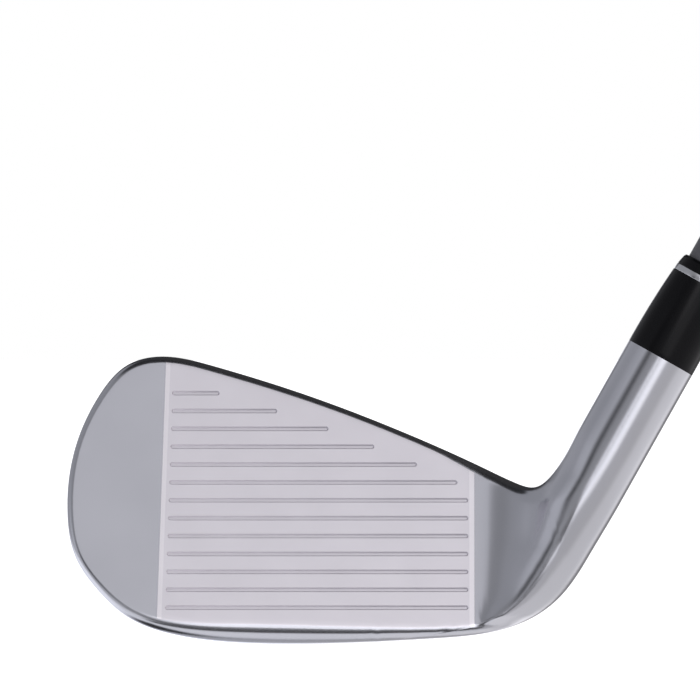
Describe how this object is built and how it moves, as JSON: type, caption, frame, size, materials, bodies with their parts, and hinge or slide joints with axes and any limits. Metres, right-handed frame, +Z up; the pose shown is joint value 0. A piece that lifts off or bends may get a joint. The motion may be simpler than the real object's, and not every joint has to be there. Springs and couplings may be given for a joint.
{
  "type": "iron golf club",
  "caption": "Long iron golf club with a cavity-back chrome head, straight score lines, black ferrule with a silver ring, tapered grey shaft and rubber grip.",
  "frame": {"origin": "the point of the sole that rests on the ground below the middle of the face, with the club soled at address", "axes": "+Z up, +X from the toe towards the heel and the player's hands, +Y from the face to the back of the head; the ball leaves towards -Y"},
  "size_m": [0.5707, 0.0331, 0.8576],
  "materials": {
    "satin_chrome": "satin chrome plate on forged steel, blasted between the score lines",
    "tungsten": "turned tungsten alloy",
    "elastomer": "matt black elastomer",
    "anodised_aluminium": "brushed and anodised dark grey",
    "ferrule_black": "polished black plastic",
    "ferrule_silver": "polished silver ring",
    "shaft_grey": "satin dark grey lacquer on carbon fibre",
    "brass": "turned brass",
    "film": "plain silver film",
    "paper_tape": "double-sided paper tape",
    "grip_rubber": "matt black moulded rubber"
  },
  "bodies": {
    "root": {"head": "satin_chrome", "toe_weight": "tungsten", "cavity_damper": "elastomer", "cavity_badge": "anodised_aluminium", "ferrule_sleeve": "ferrule_black", "ferrule_ring": "ferrule_silver", "ferrule_cap": "ferrule_black", "shaft": "shaft_grey", "tip_weight": "brass", "shaft_band": "film", "grip_tape": "paper_tape", "grip_sleeve": "grip_rubber", "grip_cap": "grip_rubber"}
  },
  "joints": []
}
